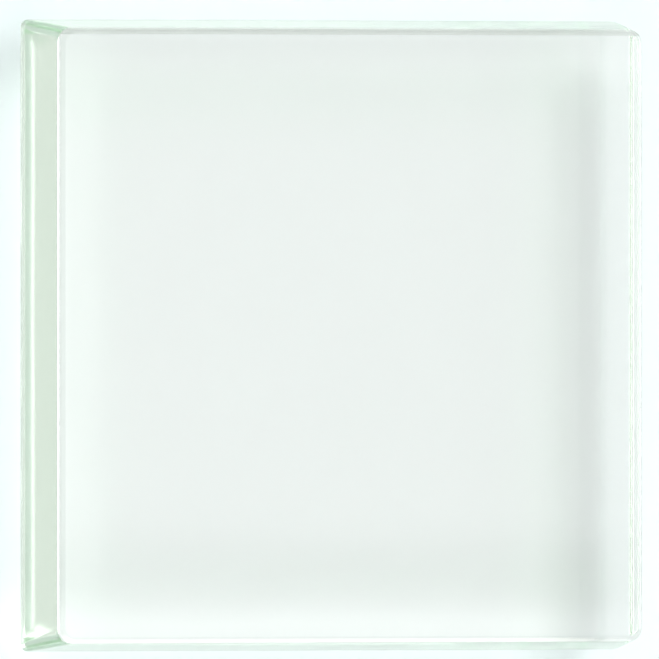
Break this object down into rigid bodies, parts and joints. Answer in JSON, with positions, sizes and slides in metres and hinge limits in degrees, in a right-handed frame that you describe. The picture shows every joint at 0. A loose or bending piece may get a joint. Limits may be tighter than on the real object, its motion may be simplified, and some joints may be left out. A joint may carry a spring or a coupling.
{
  "type": "glass tile",
  "caption": "Small square pressed glass tile, clear with a faint green tint, with slightly leaning walls and a softened front edge.",
  "frame": {"origin": "centre of the back face, on the plane that the tile lies on", "axes": "+Z out of the front face, +X and +Y along the tile's sides"},
  "size_m": [0.048, 0.048, 0.008],
  "materials": {
    "glass": "pressed and fire-polished clear soda-lime glass with a faint green tint"
  },
  "bodies": {
    "root": {"glass_tile": "glass"}
  },
  "joints": []
}
